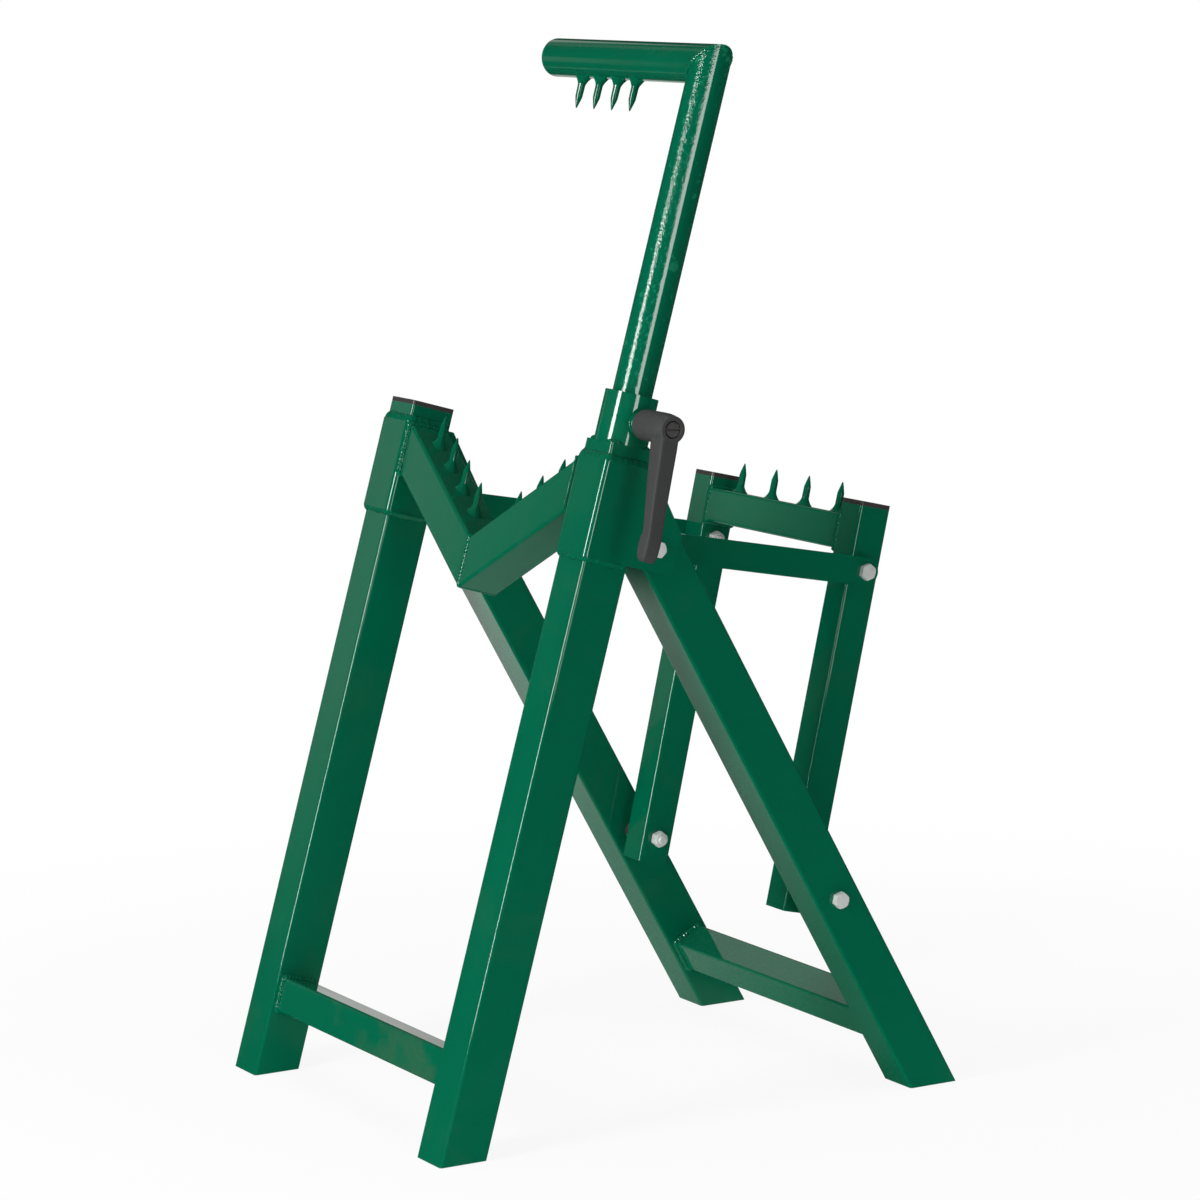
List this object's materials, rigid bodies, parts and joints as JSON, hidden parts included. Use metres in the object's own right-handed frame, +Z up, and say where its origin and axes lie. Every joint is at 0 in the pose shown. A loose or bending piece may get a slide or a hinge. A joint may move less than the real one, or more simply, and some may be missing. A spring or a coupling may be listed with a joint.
{
  "type": "log saw stand",
  "caption": "Folding green steel stand that holds a log for sawing: spiked V cradle on the front legs, spiked rear support, and a spiked clamp arm locked by a ratchet lever.",
  "frame": {"origin": "on the floor, in the middle of the stand's outline", "axes": "+X towards the side with the clamp arm, +Y from the V cradle to the rear legs, +Z up"},
  "size_m": [0.472, 0.5154, 0.914],
  "materials": {
    "powder_coat": "gloss green powder coat",
    "cap_plastic": "satin",
    "zinc_plate": "bright zinc plate",
    "guide_nylon": "plain",
    "lever_black": "fine texture"
  },
  "bodies": {
    "front_frame": {"front_leg_left": "powder_coat", "front_leg_right": "powder_coat", "front_crossbar": "powder_coat", "bracket_left": "powder_coat", "bracket_right": "powder_coat", "cradle_arm_left": "powder_coat", "cradle_arm_right": "powder_coat", "cradle_spikes_left": "powder_coat", "cradle_spikes_right": "powder_coat", "arm_sleeve": "powder_coat", "clamp_boss": "powder_coat", "leg_cap": "cap_plastic", "pivot_bolts": "zinc_plate", "pivot_spacers": "zinc_plate", "pivot_nuts": "zinc_plate"},
    "rear_frame": {"rear_leg_left": "powder_coat", "rear_leg_right": "powder_coat", "rear_crossbar": "powder_coat", "support_leg_left": "powder_coat", "support_leg_right": "powder_coat", "support_crossbar": "powder_coat", "support_spikes": "powder_coat", "stay_left": "powder_coat", "stay_right": "powder_coat", "support_cap_left": "cap_plastic", "support_cap_right": "cap_plastic", "support_bolts": "zinc_plate", "support_spacers": "cap_plastic", "support_nuts": "zinc_plate", "stay_bolts": "zinc_plate", "stay_nuts": "zinc_plate"},
    "slide_guide": {"arm_guide": "guide_nylon"},
    "clamp_arm": {"arm_post": "powder_coat", "arm_bar": "powder_coat", "arm_spikes": "powder_coat", "arm_cap": "cap_plastic"},
    "clamp_screw": {"clamp_stud": "zinc_plate", "lever_screw": "zinc_plate"},
    "lever": {"lever_handle": "lever_black", "lever_spring": "zinc_plate"}
  },
  "joints": [
    {"name": "rear_fold", "type": "hinge", "parent": "front_frame", "child": "rear_frame", "pos_m": [-0.02952, -0.04555, 0.49926], "axis": [-1, 0, 0], "range_deg": [0, 45]},
    {"name": "arm_slide", "type": "slide", "parent": "front_frame", "child": "slide_guide", "axis": [0, 0.2798, 0.96], "range_m": [-0.26, 0.06]},
    {"name": "arm_swivel", "type": "hinge", "parent": "slide_guide", "child": "clamp_arm", "pos_m": [0.14697, -0.0649, 0.58563], "axis": [0, 0.2798, 0.96], "range_deg": [-90, 90]},
    {"name": "clamp_turn", "type": "hinge", "parent": "front_frame", "child": "clamp_screw", "pos_m": [0.14697, -0.0593, 0.60483], "axis": [1, 0, 0], "range_deg": [0, 180]},
    {"name": "lever_pull", "type": "slide", "parent": "clamp_screw", "child": "lever", "axis": [1, 0, 0], "range_m": [0, 0.005], "stiffness_N_per_m": 1500, "springref_m": -0.004, "deforming": ["lever_spring"]}
  ]
}
